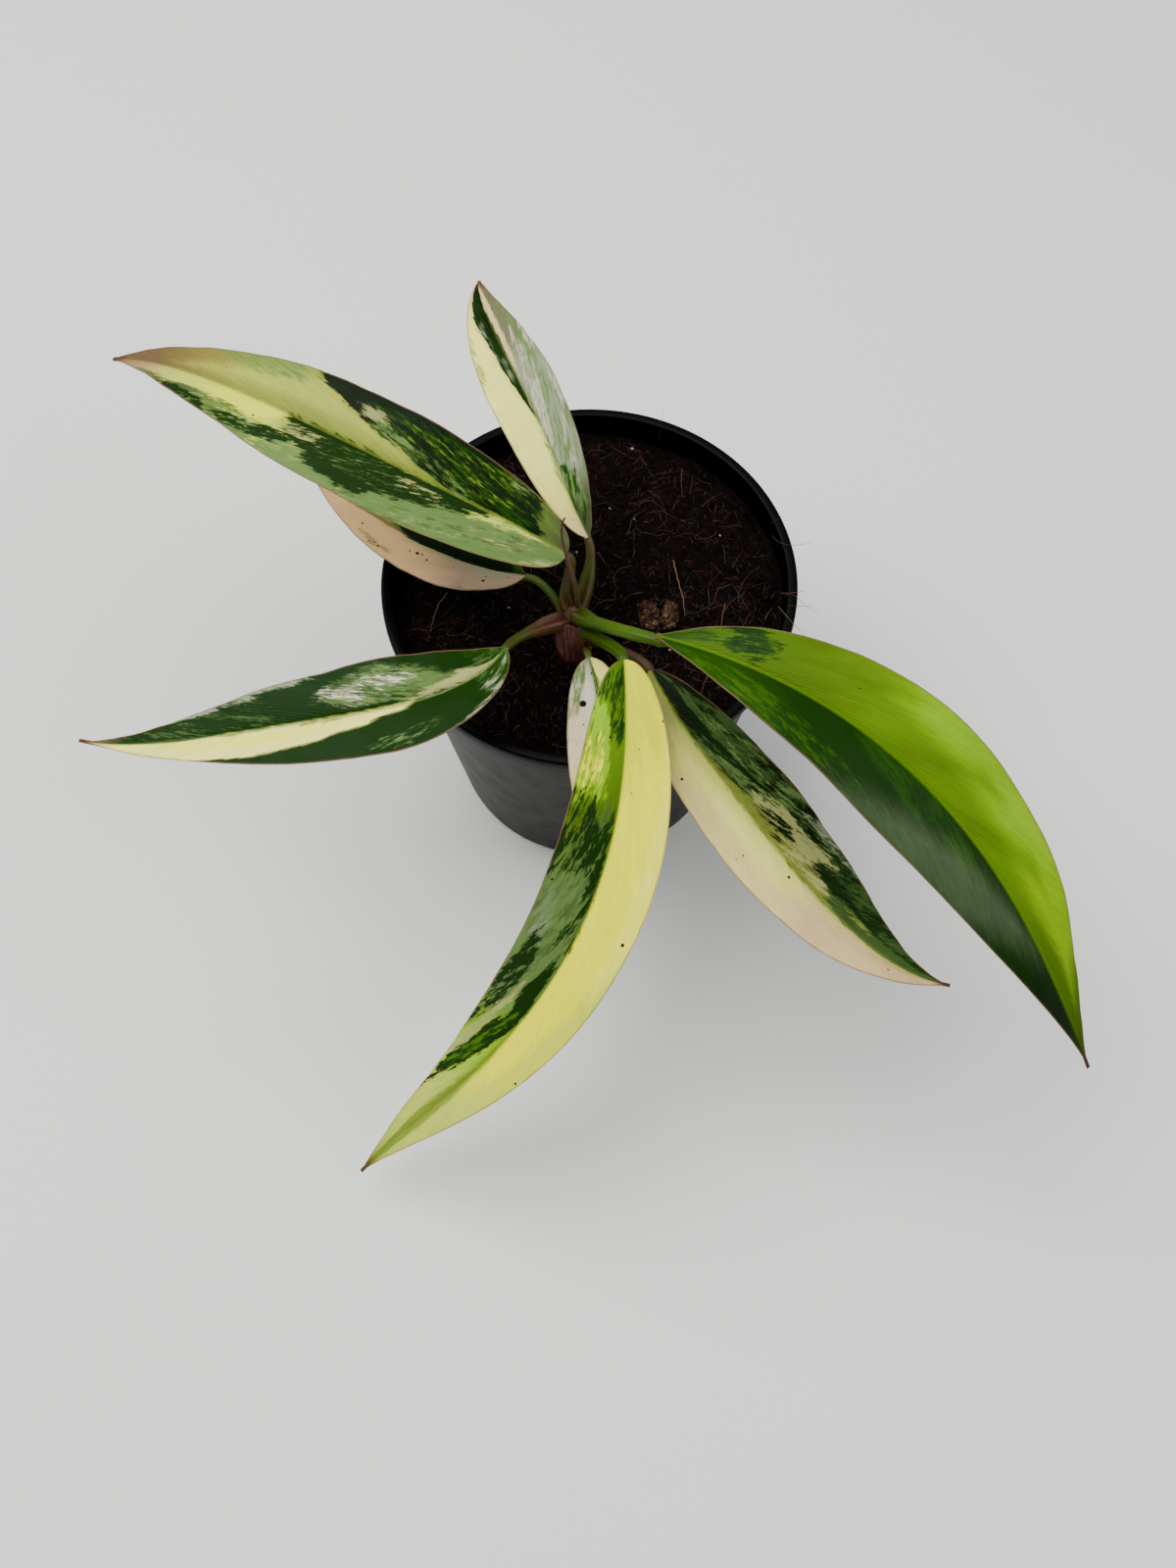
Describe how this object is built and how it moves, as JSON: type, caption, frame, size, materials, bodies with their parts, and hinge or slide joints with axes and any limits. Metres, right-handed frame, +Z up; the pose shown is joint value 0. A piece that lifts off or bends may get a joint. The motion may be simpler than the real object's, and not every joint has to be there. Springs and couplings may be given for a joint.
{
  "type": "potted philodendron",
  "caption": "Small variegated philodendron with lance-shaped, drooping leaves, growing from one short stem in soil in a round tapered nursery pot.",
  "frame": {"origin": "middle of the pot's flat underside", "axes": "+Z up along the pot's axis, -Y towards the side where the longest leaf hangs over the rim, +X to the right seen from there"},
  "size_m": [0.2781, 0.2094, 0.16],
  "materials": {
    "pot_plastic": "black moulded plastic, satin",
    "potting_mix": "moist dark peat and coir, rough",
    "husk": "crumbly coconut husk",
    "stem_skin": "brown and olive skin, dull",
    "bract_skin": "dry papery sheath, silky sheen",
    "petiole_skin": "smooth green to pinkish brown, waxy",
    "leaf_skin": "variegated green, yellow and cream, waxy"
  },
  "bodies": {
    "root": {"pot": "pot_plastic", "soil": "potting_mix", "husk_chip_left": "husk", "husk_chip_right": "husk", "stem": "stem_skin", "dry_bract": "bract_skin", "leaf_spear": "petiole_skin", "petiole_upper_left": "petiole_skin", "petiole_back": "petiole_skin", "petiole_small_left": "petiole_skin", "petiole_left": "petiole_skin", "petiole_front": "petiole_skin", "petiole_front_right": "petiole_skin", "petiole_right": "petiole_skin", "petiole_small_front": "petiole_skin", "blade_upper_left": "leaf_skin", "blade_back": "leaf_skin", "blade_small_left": "leaf_skin", "blade_left": "leaf_skin", "blade_front": "leaf_skin", "blade_front_right": "leaf_skin", "blade_right": "leaf_skin", "blade_small_front": "leaf_skin"}
  },
  "joints": []
}
